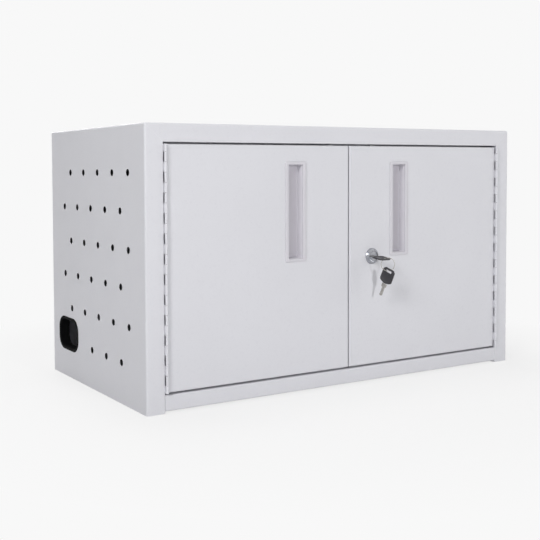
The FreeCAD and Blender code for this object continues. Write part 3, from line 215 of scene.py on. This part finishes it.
def make_outlet():
    """Lining of the cable outlet: a closed profile of wall thickness, rim and clip lip carried round a
    rounded rectangle. The profile's second number is how far it lies inside the rim's outline."""
    low, high = span("cable_outlet_grommet")
    _, y, z = (low + high) / 2
    _, half_y, half_z = (high - low) / 2
    out, end = low[0], high[0]
    sheet = out + 0.8
    clip_near, clip_far = sheet + 1.25, sheet + 2.7
    mouth, cutout, clip, corner = 4.5, 2.0, 0.1, 21
    profile = softened([
        (out, 0, 0.6), (out, mouth, 1.6), (end, mouth, 0.5), (end, cutout, 0.5), (clip_far, cutout, 0.2),
        (clip_far, clip, 0.4), (clip_near, clip, 0.2), (clip_near, cutout, 0.2), (sheet, cutout, 0.2),
        (sheet, 0, 0.15)])
    x, shrink = profile.T
    u, v = rounded_loops(half_y - shrink, half_z - shrink, corner - shrink, steps=16)
    rows = np.stack([x[:, None] + 0 * u, y + u, z + v], -1)
    stands_for(skin("outlet_lining", rows, ring=True), "cable_outlet_grommet", "outlet_black")


def make_lock_housing():
    """Turned housing: rim, face and chamfer of the head and then the barrel, whose radius waves with the
    height and the angle together and so makes one thread."""
    low, high = span("lock_body")
    x, _, z = (low + high) / 2
    face, end = low[1], high[1]
    door = face + 5.0
    seat = door - 0.02
    bore, head_radius, barrel_radius, end_radius = 7.05, 12.5, 9.5, 9.1
    head = softened([
        (bore, end, 0), (bore, face + 1.3, 0.2), (7.5, face + 0.8, 0.2), (8.3, face + 0.6, 0.3),
        (8.8, face, 0.3), (10.9, face + 1.95, 1.6), (head_radius, face + 3.9, 0.7), (head_radius, seat, 0.2),
        (barrel_radius, seat, 0.1), (barrel_radius, door + 1.2, 0)], closed=False, steps=6)
    thread_start, thread_end, pitch, depth, run_in = door + 1.3, end - 0.4, 1.25, 0.22, 1.5
    barrel_y = np.linspace(thread_start, thread_end, 90)
    barrel = np.stack([np.full_like(barrel_y, barrel_radius), barrel_y], -1)
    rows = spin(np.vstack([head, barrel, [[end_radius, end]]]), (x, z))
    t = np.linspace(0, 2 * np.pi, rows.shape[1], endpoint=False)
    height = barrel_y[:, None]
    wave = depth * (1 - np.cos(2 * np.pi * height / pitch - t))
    wave *= np.clip((height - thread_start) / run_in, 0, 1)
    cut = rows[len(head):len(head) + len(barrel)]
    cut[..., 0] -= wave * np.cos(t)
    cut[..., 2] -= wave * np.sin(t)
    stands_for(skin("lock_housing", rows, ring=True, smooth=40), "lock_body", "lock_chrome")


def make_grip(name, node, turn, spot, around=160):
    """Flat grip with a slot: loops about the slot's middle, from the slot's wall up to its lip, which leans in
    over the wall, across a bead, a sunk field and the outer bead, round the outer edge and back underneath.
    Along each ray the grip's outline is the soft nearest of its side lines (direction and distance), and the
    slot's is a superellipse."""
    t = np.linspace(0, 2 * np.pi, around, endpoint=False)
    ray = np.stack([np.cos(t), np.sin(t)], -1)
    top, sunk, edge_round = 1.1, 0.28, 0.55
    slot_half_x, slot_half_y, slot_power, outline_power = 5.4, 2.15, 5, 26
    ends = np.array([[0, 1, 4.78], [0, -1, 20.6]])
    flanks = np.array([[1, 0, 10.8], [0.69, 0.724, 8.5], [0.28, -0.96, 20.3], [0.53, -0.848, 19.7]])
    sides = np.vstack([ends, flanks, flanks * [-1, 1, 1]])
    nearness = np.clip(ray @ sides[:, :2].T, 1e-3, None) / sides[:, 2]
    outer = (nearness ** outline_power).sum(1) ** (-1 / outline_power)
    slot = np.abs(ray / [slot_half_x, slot_half_y]) ** slot_power
    inner = slot.sum(1) ** (-1 / slot_power)
    gap = outer - inner
    bead_in, bead_out = np.minimum(1.0, 0.25 * gap), np.minimum(1.9, 0.38 * gap)
    edge, slope = np.minimum(edge_round, 0.2 * gap), 0.12 * np.minimum(gap, 3.0)
    arc = np.linspace(0, np.pi / 2, 6)[:, None]
    upper = np.vstack([inner + edge * (1 - np.sin(arc)), inner + bead_in, inner + bead_in + slope,
                       outer - bead_out - slope, outer - bead_out, outer - edge * (1 - np.sin(arc))])
    bend = edge_round * (1 - np.cos(arc[:, 0]))
    height = top - np.concatenate([bend[::-1], [0, sunk, sunk, 0], bend])
    r = np.vstack([upper, upper[::-1]])
    rise = np.concatenate([height, -height[::-1]])[:, None]
    rows = np.stack([r * ray[:, 0], GRIP_SLOT_Y + r * ray[:, 1], rise + 0 * r], -1)
    stands_for(skin(name, placed(rows, turn, spot), ring=True, smooth=50), node, "key_plastic")


def make_blade(name, node, turn, spot):
    """Shoulder and cut blade: cross-sections along the blade. Half widths follow the shoulder, the tip's
    curve and the sum of the notches along one edge, and both faces have a milled groove."""
    shoulder_long, shoulder_half, shoulder_soft = 5.5, 4.2, 0.06
    blade_half, blade_end, end_round = 2.47, 20.0, 0.28
    tip_start, tip_long, tip_taper, tip_power = 12.2, 2.6, 1.4, 2.2
    notch_places, notch_depths = np.array([2.6, 5.2, 7.7, 10.4]), np.array([0.8, 0.55, 0.8, 0.65])
    notch_flat, notch_slope = 1.35, 0.85
    groove_depth, groove_x, groove_half, groove_power = 0.42, 0.6, 0.7, 6
    half_thick, edge_drop, edge_start = 0.88, 0.3, 0.88
    closing = blade_end + end_round * (1 - np.cos(np.linspace(0, np.pi / 2, 6)[1:]))
    y = -np.concatenate([np.linspace(0.02, 5.2, 6), np.linspace(5.3, 5.7, 5),
                         np.linspace(5.8, blade_end, 100), closing])
    along = -y - shoulder_long
    shoulder = 1 / (1 + np.exp(along / shoulder_soft))
    tip = np.clip((along - tip_start) / tip_long, 0, 1)
    half = (blade_half - tip_taper * tip ** tip_power) * (1 - shoulder) + shoulder_half * shoulder
    nearness = np.clip(notch_flat - np.abs(along[:, None] - notch_places) / notch_slope, 0, 1)
    left, right = -half + (notch_depths * nearness).sum(1) * (1 - shoulder), half
    u = np.concatenate([[0, 0.02, 0.06], np.linspace(0.14, 0.86, 22), [0.94, 0.98, 1]])
    x = left[:, None] + (right - left)[:, None] * u
    groove = groove_depth * (1 - shoulder[:, None]) * np.exp(-((x - groove_x) / groove_half) ** groove_power)
    groove *= 1 - tip[:, None] * 0.6
    dome = half_thick - edge_drop * np.maximum(np.abs(2 * u - 1) - edge_start, 0) / (1 - edge_start)
    upper = np.stack([x, y[:, None] + 0 * x, dome - groove], -1)
    lower = np.stack([x, y[:, None] + 0 * x, -dome + 0.8 * groove[:, ::-1]], -1)
    rows = np.concatenate([upper, lower[:, ::-1]], 1)
    stands_for(skin(name, placed(rows, turn, spot), smooth=30), node, "key_nickel")


def make_ring():
    """Split ring: a small flat-sided wire section carried twice round, sliding from one face of the ring to
    the other, with both ends lying on the coil."""
    drop, radius, half_wide, half_thick, squareness = 7.7, 10.4, 0.45, 0.22, 0.55
    coil_start, end_gap, slide_far, steps = 2.1, 0.25, 0.24, 240
    across, up = np.array(JOINT["ring_swing"]["axis"]), np.asarray(DROOP.to_3x3())[:, 2]
    normal = np.cross(up, across)
    middle = np.array(JOINT["ring_swing"]["pos_m"]) / MM - drop * up
    t = (np.linspace(0, 4 * np.pi - end_gap, steps) + coil_start)[:, None, None]
    slide = np.interp(np.linspace(0, 1, steps), [0.42, 0.58], [-slide_far, slide_far])
    s = np.linspace(0, 2 * np.pi, 16, endpoint=False)
    wide, thick = (size * np.sign(wave) * np.abs(wave) ** squareness
                   for size, wave in ((half_wide, np.cos(s)), (half_thick, np.sin(s))))
    rows = (middle + (radius + wide)[None, :, None] * (np.cos(t) * across + np.sin(t) * up)
            + (slide[:, None] + thick)[..., None] * normal)
    stands_for(skin("split_ring", rows, smooth=50), "key_ring", "key_nickel")


def make_keys():
    """Key in the lock with its bent grip, the spare key that hangs on the ring, and the ring."""
    low, high = span("lock_plug")
    x, _, z = (low + high) / 2
    bow_start, bow_step = span("key_blade")[0][1], 0.15
    turn = Matrix.Rotation(math.pi, 4, "Z")
    make_blade("key_shank", "key_blade", turn, (x, bow_start, z))
    make_grip("key_grip", "key_bow", DROOP @ turn, (x, bow_start - bow_step, z))
    spare_yaw, spare_tilt, spare_slip = -75, -22, -2.0
    hang = np.array(JOINT["spare_key_swing"]["pos_m"]) / MM
    turn = (Matrix.Rotation(math.radians(spare_yaw), 4, "Z") @ Matrix.Rotation(math.radians(90), 4, "X")
            @ Matrix.Rotation(math.radians(spare_tilt), 4, "Z"))
    spot = hang - np.asarray(turn.to_3x3()) @ np.array([spare_slip, GRIP_SLOT_Y, 0])
    make_grip("spare_key_grip", "spare_key_bow", turn, spot)
    make_blade("spare_key_shank", "spare_key_blade", turn, spot)
    make_ring()


make_pull("left")
make_pull("right")
make_outlet()
make_lock_housing()
make_keys()


# Finishes

class Finish:
    """Node tree of one material, with short calls that add a node and join it."""

    def __init__(self, name, **sockets):
        self.material = bpy.data.materials.new(name)
        self.material.use_nodes = True
        self.tree = self.material.node_tree
        self.shader = self.tree.nodes["Principled BSDF"]
        for socket, number in sockets.items():
            self.shader.inputs[socket.replace("_", " ")].default_value = number
        self.place = self.add("ShaderNodeTexCoord").outputs["Object"]

    def add(self, kind, **inputs):
        node = self.tree.nodes.new(kind)
        for socket, given in inputs.items():
            self.feed(node.inputs[socket.replace("_", " ")], given)
        return node

    def feed(self, socket, given):
        if isinstance(given, bpy.types.NodeSocket):
            self.tree.links.new(given, socket)
        else:
            socket.default_value = given

    def sum_of(self, operation, *given):
        """Sum on one or two numbers, such as a product or a test against a limit."""
        node = self.add("ShaderNodeMath")
        node.operation = operation
        for socket, number in zip(node.inputs, given):
            self.feed(socket, number)
        return node.outputs[0]

    def axes(self, vector):
        """The three numbers of a place or a direction."""
        return self.add("ShaderNodeSeparateXYZ", Vector=vector).outputs

    def noise(self, size_mm, detail=2.0, stretch=None):
        """Noise whose lumps measure about size_mm, stretched along an axis where asked."""
        place = self.place
        if stretch is not None:
            place = self.add("ShaderNodeMapping", Vector=place, Scale=stretch).outputs["Vector"]
        return self.add("ShaderNodeTexNoise", Vector=place, Scale=1 / (size_mm * MM), Detail=detail,
                        Roughness=0.5).outputs["Fac"]

    def spread(self, source, low, high, start=0.3, stop=0.7):
        """Source fitted between two numbers."""
        return self.add("ShaderNodeMapRange", Value=source, From_Min=start, From_Max=stop, To_Min=low,
                        To_Max=high).outputs["Result"]

    def between(self, source, tones, start=0.3, stop=0.7):
        """Colour that drifts from one tone to the other as the source rises."""
        ramp = self.add("ShaderNodeValToRGB", Fac=source)
        for stage, position, colour in zip(ramp.color_ramp.elements, (start, stop), tones):
            stage.position = position
            stage.color = (*colour, 1)
        return ramp.outputs["Color"]

    def mixed(self, share, under, over):
        """Colour that goes from a source to a tone as the share rises."""
        node = self.add("ShaderNodeMix")
        node.data_type = "RGBA"
        self.feed(node.inputs[0], share)
        self.feed(node.inputs[6], under)
        self.feed(node.inputs[7], (*over, 1))
        return node.outputs[2]

    def lighter_edges(self, radius_mm, start, stop=0.999):
        """Share of the lighter edge tone: the turn between the face and its bevelled neighbour, which rises
        only at edges. On the paint, the pulls and the key grips this lighter edge is a painted highlight.
        """
        bevel = self.add("ShaderNodeBevel", Radius=radius_mm * MM)
        bevel.samples = 4
        face = self.add("ShaderNodeNewGeometry").outputs["Normal"]
        dot = self.add("ShaderNodeVectorMath")
        dot.operation = "DOT_PRODUCT"
        self.feed(dot.inputs[0], bevel.outputs["Normal"])
        self.feed(dot.inputs[1], face)
        return self.spread(dot.outputs["Value"], 1.0, 0.0, start, stop)

    def relief(self, *layers):
        """Bumps on top of each other, each a height, its strength and its depth in millimetres."""
        normal = None
        for height, strength, depth in layers:
            node = self.add("ShaderNodeBump", Height=height, Strength=strength, Distance=depth * MM)
            if normal is not None:
                self.feed(node.inputs["Normal"], normal)
            normal = node.outputs["Normal"]
        self.feed(self.shader.inputs["Normal"], normal)

    def colour(self, source):
        self.feed(self.shader.inputs["Base Color"], source)

    def rough(self, source):
        self.feed(self.shader.inputs["Roughness"], source)


def tone(red, green, blue):
    """Colour as seen on a screen, 0 to 255, as the light it stands for."""
    c = np.array([red, green, blue]) / 255
    return tuple(np.where(c <= 0.04045, c / 12.92, ((c + 0.055) / 1.055) ** 2.4).tolist())


def vent_hole_shade(f):
    """Share of painted shade on the walls of the side sheets' vent holes: 1 where the face lies within the
    sheet's thickness and looks along the sheet, away from the panels' outer edges."""
    sheet_inside, sideways, half_depth, middle_height, half_height = 0.3487, 0.3, 0.16, 0.2, 0.175
    place = f.axes(f.place)
    way = f.axes(f.add("ShaderNodeTexCoord").outputs["Normal"])
    height = f.sum_of("SUBTRACT", place["Z"], middle_height)
    share = 1.0
    for source, test, limit in ((place["X"], "GREATER_THAN", sheet_inside), (way["X"], "LESS_THAN", sideways),
                                (place["Y"], "LESS_THAN", half_depth), (height, "LESS_THAN", half_height)):
        share = f.sum_of("MULTIPLY", share, f.sum_of(test, f.sum_of("ABSOLUTE", source), limit))
    return share


def powder_coat():
    """Paint of the sheet metal: an orange-peel skin with faint specks, a painted highlight on the edges and
    painted shade on the walls of the vent holes.
    """
    f = Finish("powder_coat", Specular_IOR_Level=0.45)
    cloud = f.noise(260, 3)
    speck = f.noise(3.4, 2)
    base = f.between(cloud, (tone(212, 212, 217), tone(216, 216, 221)))
    speckled = f.mixed(f.spread(speck, 0, 0.35, 0.55, 0.8), base, tone(204, 203, 210))
    # Painted highlight: the edges and bends of the paint are lightened as if catching the light.
    edge_highlit = f.mixed(f.lighter_edges(0.7, 0.9), speckled, tone(221, 221, 226))
    # Painted shade: the walls of the vent holes are darkened to near black.
    f.colour(f.mixed(vent_hole_shade(f), edge_highlit, tone(17, 17, 18)))
    f.rough(f.spread(f.noise(35, 3), 0.4, 0.52))
    f.relief((f.noise(2.6, 1.5), 0.22, 0.06), (f.noise(0.55, 2), 0.25, 0.03))
    return f.material


def moulded(name, tones, rough, grain_mm=0.5, grain=0.3, edge=None, **sockets):
    """Moulded plastic: a spark-eroded grain, a slow drift of tone, lighter edges and uneven gloss."""
    f = Finish(name, **sockets)
    base = f.between(f.noise(60, 3), tones)
    if edge is not None:
        base = f.mixed(f.lighter_edges(0.5, 0.85), base, edge)
    f.colour(base)
    f.rough(f.spread(f.noise(9, 4), rough - 0.06, rough + 0.08))
    f.relief((f.noise(grain_mm, 3), grain, 0.04), (f.noise(14, 1), 0.12, 0.1))
    return f.material


def pull_grey():
    """Grey plastic of the recessed pulls: the rim a little darker than the recess walls, a painted highlight
    on the edges and painted shade on the floor of the recess. Both borders are places along Y, in metres."""
    rim_border, floor_border = (-0.1755, -0.174), (-0.164, -0.1622)
    f = Finish("pull_grey")
    walls = f.between(f.noise(60, 3), (tone(211, 209, 215), tone(217, 215, 221)))
    depth = f.axes(f.place)["Y"]
    rim = f.mixed(f.spread(depth, 1, 0, *rim_border), walls, tone(204, 202, 208))
    # Painted highlight: the pull's edges are lightened.
    edge_highlit = f.mixed(f.lighter_edges(0.5, 0.85), rim, tone(220, 219, 224))
    # Painted shade: the floor of the recess is darkened.
    f.colour(f.mixed(f.spread(depth, 0, 1, *floor_border), edge_highlit, tone(195, 192, 199)))
    f.rough(f.spread(f.noise(9, 4), 0.44, 0.58))
    f.relief((f.noise(0.5, 3), 0.3, 0.04), (f.noise(14, 1), 0.12, 0.1))
    return f.material


def metal(name, tones, rough, stretch, grain_mm=0.6, grain=0.2, edge=None):
    """Drawn, plated or milled metal: fine lines along one axis, cloudy tone and brighter edges."""
    f = Finish(name, Metallic=1.0)
    lines = f.noise(grain_mm, 3, stretch)
    base = f.between(f.noise(18, 4), tones)
    if edge is not None:
        base = f.mixed(f.lighter_edges(0.35, 0.85), base, edge)
    f.colour(base)
    f.rough(f.spread(lines, rough - 0.07, rough + 0.1))
    f.relief((lines, grain, 0.03))
    return f.material


def chrome():
    """Polished plating of the lock's head, a little cloudy."""
    f = Finish("polished_chrome", Metallic=1.0)
    f.colour(f.between(f.noise(7, 3), (tone(140, 143, 151), tone(176, 177, 182))))
    f.rough(f.spread(f.noise(2.5, 4), 0.07, 0.2))
    f.relief((f.noise(3.5, 2), 0.06, 0.05), (f.noise(0.25, 2, (1, 6, 1)), 0.05, 0.02))
    return f.material


def circuit_board():
    """Green board with paler lanes."""
    f = Finish("circuit_board", Specular_IOR_Level=0.5)
    flat = f.add("ShaderNodeMapping", Vector=f.place, Rotation=(math.pi / 2, 0, 0)).outputs["Vector"]
    lanes = f.add("ShaderNodeTexBrick", Vector=flat, Scale=220.0, Mortar_Size=0.09,
                  Color1=(*tone(26, 96, 58), 1), Color2=(*tone(22, 88, 52), 1),
                  Mortar=(*tone(52, 126, 80), 1))
    f.colour(lanes.outputs["Color"])
    f.rough(f.spread(f.noise(12, 3), 0.28, 0.42))
    f.relief((lanes.outputs["Fac"], 0.3, 0.03))
    return f.material


FINISHES = {
    "body_paint": powder_coat(),
    # The pins' dark tone is partly painted shade, standing in for the shade in the gaps between the knuckles;
    # the steel pin itself is real.
    "hinge_steel": metal("hinge_wire", (tone(88, 88, 92), tone(106, 106, 110)), 0.42, (1, 1, 0.08)),
    "pull_plastic": pull_grey(),
    "outlet_black": moulded("outlet_black", (tone(13, 13, 14), tone(18, 18, 19)), 0.7,
                            edge=tone(19, 19, 20), Specular_IOR_Level=0.06),
    "lock_chrome": chrome(),
    "zinc_steel": metal("zinc_plate", (tone(166, 168, 172), tone(190, 191, 192)), 0.34, (1, 1, 1),
                        grain_mm=2.2, grain=0.12, edge=tone(212, 212, 212)),
    "guide_plastic": moulded("guide_white", (tone(216, 216, 212), tone(224, 224, 220)), 0.48),
    "key_nickel": metal("key_nickel", (tone(158, 155, 150), tone(186, 183, 178)), 0.28, (1, 1, 0.2),
                        grain_mm=0.5, grain=0.12, edge=tone(214, 212, 208)),
    # The key grips' lighter edge tone is a painted highlight on their bevelled edges.
    "key_plastic": moulded("key_black", (tone(40, 39, 43), tone(49, 48, 52)), 0.46,
                           grain_mm=0.35, grain=0.4, edge=tone(80, 79, 84)),
    "rack_plastic": moulded("rack_grey", (tone(100, 102, 105), tone(110, 112, 115)), 0.5,
                            grain_mm=0.8, grain=0.4, edge=tone(140, 142, 145)),
    "hub_plastic": moulded("hub_black", (tone(68, 68, 71), tone(78, 78, 81)), 0.48,
                           grain_mm=0.7, grain=0.5, edge=tone(104, 104, 107)),
    "socket_steel": metal("socket_shell", (tone(180, 180, 180), tone(204, 204, 204)), 0.3, (1, 0.2, 1),
                          grain_mm=0.6, grain=0.1, edge=tone(224, 224, 224)),
    "board_green": circuit_board(),
    "rocker_red": moulded("rocker_red", (tone(198, 62, 56), tone(206, 70, 62)), 0.22,
                          grain_mm=1.0, grain=0.05, edge=tone(226, 110, 100), Coat_Weight=0.4),
}
for entry in frame["record"]["subparts"]:
    mesh = NODES[entry["node"]].data
    mesh.materials.clear()
    mesh.materials.append(FINISHES[entry["material_slot"]])
for piece in list(bpy.context.scene.objects):
    if "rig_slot" in piece and not piece.data.materials:
        piece.data.materials.append(FINISHES[piece["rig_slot"]])


# Floor, light and camera

def straight_view(tree):
    """1 for what is seen directly, mirrored or through glass, 0 for light that falls on a matt surface."""
    path = tree.nodes.new("ShaderNodeLightPath")
    first, second = tree.nodes.new("ShaderNodeMath"), tree.nodes.new("ShaderNodeMath")
    first.operation = second.operation = "MAXIMUM"
    tree.links.new(path.outputs["Is Camera Ray"], first.inputs[0])
    tree.links.new(path.outputs["Is Glossy Ray"], first.inputs[1])
    tree.links.new(first.outputs[0], second.inputs[0])
    tree.links.new(path.outputs["Is Transmission Ray"], second.inputs[1])
    return second.outputs[0]


def make_floor():
    """Wide pale sheet under the cabinet. The camera sees it as paper white with the soft shade close to the
    cabinet, and the light on the cabinet sees a plain pale floor."""
    half, level = 9.0, -0.0006
    fade_range = {"From Min": 0.36, "From Max": 0.7, "To Min": 0.78, "To Max": 1.0}
    mesh = bpy.data.meshes.new("pale_floor")
    corners = [(-half, -half, level), (half, -half, level), (half, half, level), (-half, half, level)]
    mesh.from_pydata(corners, [], [(0, 1, 2, 3)])
    floor = added("pale_floor", mesh)
    material = bpy.data.materials.new("pale_floor")
    material.use_nodes = True
    tree = material.node_tree
    tree.nodes.clear()
    new, link = tree.nodes.new, tree.links.new
    out, shown, seen = new("ShaderNodeOutputMaterial"), new("ShaderNodeMixShader"), new("ShaderNodeMixShader")
    matt, shade, paper = new("ShaderNodeBsdfDiffuse"), new("ShaderNodeBsdfDiffuse"), new("ShaderNodeEmission")
    for shader, grey in ((matt, 0.8), (shade, 0.9), (paper, PAPER)):
        shader.inputs["Color"].default_value = (grey, grey, grey, 1)
    place, length, fade = new("ShaderNodeTexCoord"), new("ShaderNodeVectorMath"), new("ShaderNodeMapRange")
    length.operation = "LENGTH"
    link(place.outputs["Object"], length.inputs[0])
    link(length.outputs["Value"], fade.inputs["Value"])
    for socket, number in fade_range.items():
        fade.inputs[socket].default_value = number
    link(fade.outputs["Result"], seen.inputs["Fac"])
    link(shade.outputs[0], seen.inputs[1])
    link(paper.outputs[0], seen.inputs[2])
    link(straight_view(tree), shown.inputs["Fac"])
    link(matt.outputs[0], shown.inputs[1])
    link(seen.outputs[0], shown.inputs[2])
    link(shown.outputs[0], out.inputs["Surface"])
    mesh.materials.append(material)


def make_world(level):
    """White paper for what is seen directly or mirrored, and a dim even room that lights the cabinet."""
    world = bpy.data.worlds.new("studio")
    bpy.context.scene.world = world
    world.use_nodes = True
    tree = world.node_tree
    tree.nodes.clear()
    out, mix = tree.nodes.new("ShaderNodeOutputWorld"), tree.nodes.new("ShaderNodeMixShader")
    room, paper = tree.nodes.new("ShaderNodeBackground"), tree.nodes.new("ShaderNodeBackground")
    room.inputs["Color"].default_value = (1, 1, 1, 1)
    room.inputs["Strength"].default_value = level
    paper.inputs["Color"].default_value = (PAPER, PAPER, PAPER, 1)
    paper.inputs["Strength"].default_value = 1
    tree.links.new(straight_view(tree), mix.inputs["Fac"])
    tree.links.new(room.outputs[0], mix.inputs[1])
    tree.links.new(paper.outputs[0], mix.inputs[2])
    tree.links.new(mix.outputs[0], out.inputs["Surface"])


def stand(thing, right, up, back, spot):
    """Lamp or camera set at a spot, with its back turned away from what it faces."""
    place = np.eye(4)
    place[:3] = np.stack([right, up, back, spot], -1)
    thing.matrix_world = Matrix(place.tolist())


def soft_box(name, spot, target, size, watts):
    """Square area lamp that faces a target."""
    lamp = bpy.data.lights.new(name, "AREA")
    lamp.size = size
    lamp.energy = watts
    spot, target = np.array(spot, float), np.array(target, float)
    back = (spot - target) / np.linalg.norm(spot - target)
    right = np.cross([0, 0, 1], back)
    right /= np.linalg.norm(right)
    stand(added(name, lamp), right, np.cross(back, right), back, spot)


def make_camera():
    """Camera at the photograph's place: it looks in from the front left, a little down."""
    spot = (-0.891742, -1.274559, 0.334466)
    yaw, pitch, roll = (math.radians(angle) for angle in (30.262, 2.580, 0.340))
    ahead = np.array([math.sin(yaw) * math.cos(pitch), math.cos(yaw) * math.cos(pitch), -math.sin(pitch)])
    right = np.array([math.cos(yaw), -math.sin(yaw), 0])
    down = np.cross(ahead, right)
    rolled_right = right * math.cos(roll) + down * math.sin(roll)
    rolled_down = -right * math.sin(roll) + down * math.cos(roll)
    data = bpy.data.cameras.new("photo_camera")
    data.sensor_width, data.lens = 36, 60.524
    data.shift_x, data.shift_y = 0.1131, -0.1083
    camera = added("photo_camera", data)
    stand(camera, rolled_right, -rolled_down, -ahead, spot)
    bpy.context.scene.camera = camera


make_floor()
make_world(level=0.15)
soft_box("left_soft_box", spot=(-2.15, -1.32, 1.35), target=(0, -0.175, 0.25), size=0.7, watts=30)
soft_box("right_soft_box", spot=(2.1, -1.5, 1.0), target=(0, -0.175, 0.25), size=1.4, watts=11)
soft_box("front_lamp", spot=(-0.1, -3.0, 0.78), target=(0, -0.175, 0.2), size=0.2, watts=25.5)
soft_box("high_soft_box", spot=(-0.2, 0.3, 2.6), target=(0, 0, 0.4), size=1.0, watts=22)
soft_box("back_soft_box", spot=(0.4, 2.6, 1.1), target=(0, 0.175, 0.2), size=1.2, watts=24)
make_camera()
bpy.context.scene.view_settings.view_transform = "Standard"
